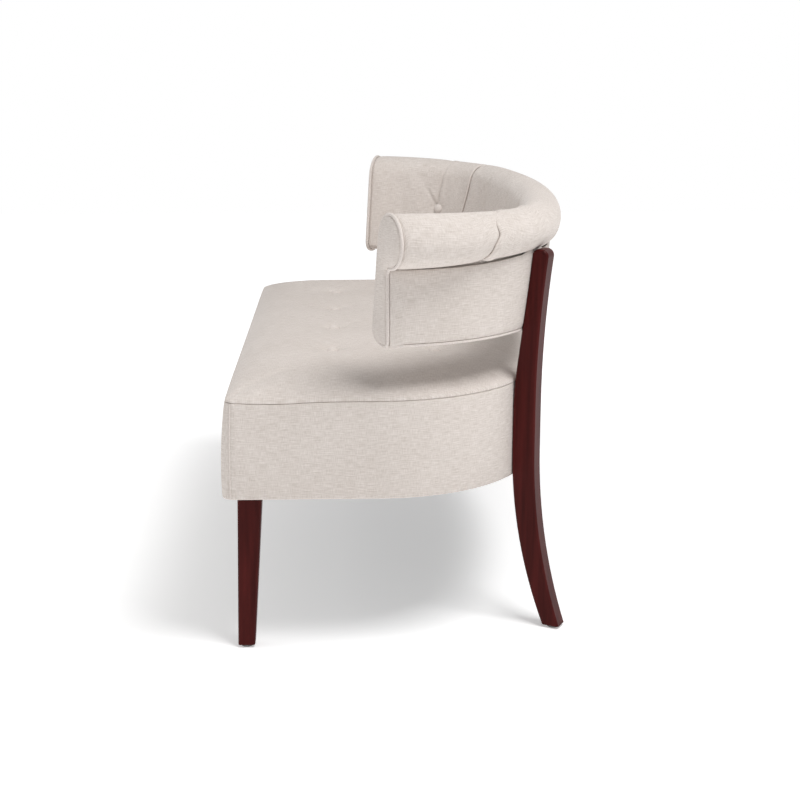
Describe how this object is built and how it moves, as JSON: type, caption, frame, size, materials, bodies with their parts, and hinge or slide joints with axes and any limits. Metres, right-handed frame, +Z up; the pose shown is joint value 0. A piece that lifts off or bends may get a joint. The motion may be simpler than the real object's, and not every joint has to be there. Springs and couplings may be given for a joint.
{
  "type": "upholstered settee",
  "caption": "Upholstered settee with a thick boxed buttoned seat, a short rolled back wrapped round its bowed rear, and dark wooden legs, the rear pair carrying the back.",
  "frame": {"origin": "on the floor, under the middle of the settee's box", "axes": "+X along the seat to the viewer's right from the front, +Y to the rear, +Z up"},
  "size_m": [1.2912, 0.6199, 0.7541],
  "materials": {
    "leg_wood": "dark reddish brown satin lacquer",
    "frame_wood": "sawn hardwood",
    "plywood": "bent plywood",
    "zinc_steel": "zinc plated",
    "glide": "black plastic glide",
    "foam": "polyurethane foam",
    "cover": "ivory linen-weave cover over wadding",
    "trim": "ivory linen-weave self trim",
    "webbing": "jute webbing",
    "felt": "insulator felt",
    "cambric": "black cambric"
  },
  "bodies": {
    "root": {"front_leg_left": "leg_wood", "front_leg_right": "leg_wood", "rear_leg_left": "leg_wood", "rear_leg_right": "leg_wood", "seat_front_rail": "frame_wood", "seat_end_rails": "frame_wood", "seat_corner_rail_left": "frame_wood", "seat_corner_rail_right": "frame_wood", "seat_rear_rail": "frame_wood", "seat_brace_left": "frame_wood", "seat_brace_right": "frame_wood", "seat_corner_blocks": "frame_wood", "stile_blocks": "frame_wood", "back_core_left": "plywood", "back_core_center": "plywood", "back_core_right": "plywood", "back_low_rail": "plywood", "back_top_rail": "plywood", "arm_post_left": "plywood", "arm_post_right": "plywood", "leg_inserts": "zinc_steel", "front_hanger_bolts": "zinc_steel", "seat_leg_bolts": "zinc_steel", "back_leg_bolts": "zinc_steel", "leg_glides": "glide", "seat_foam": "foam", "seat_top_pad": "cover", "seat_border": "cover", "arm_pad_left": "cover", "arm_pad_right": "cover", "back_pad": "cover", "arm_facing_left": "cover", "arm_facing_right": "cover", "outside_panel_left": "cover", "outside_panel_center": "cover", "outside_panel_right": "cover", "arm_piping_left": "trim", "arm_piping_right": "trim", "back_welt": "trim", "seat_buttons": "trim", "back_buttons": "trim", "seat_webbing_long": "webbing", "seat_webbing_cross": "webbing", "seat_deck_felt": "felt", "dust_cover": "cambric"}
  },
  "joints": []
}
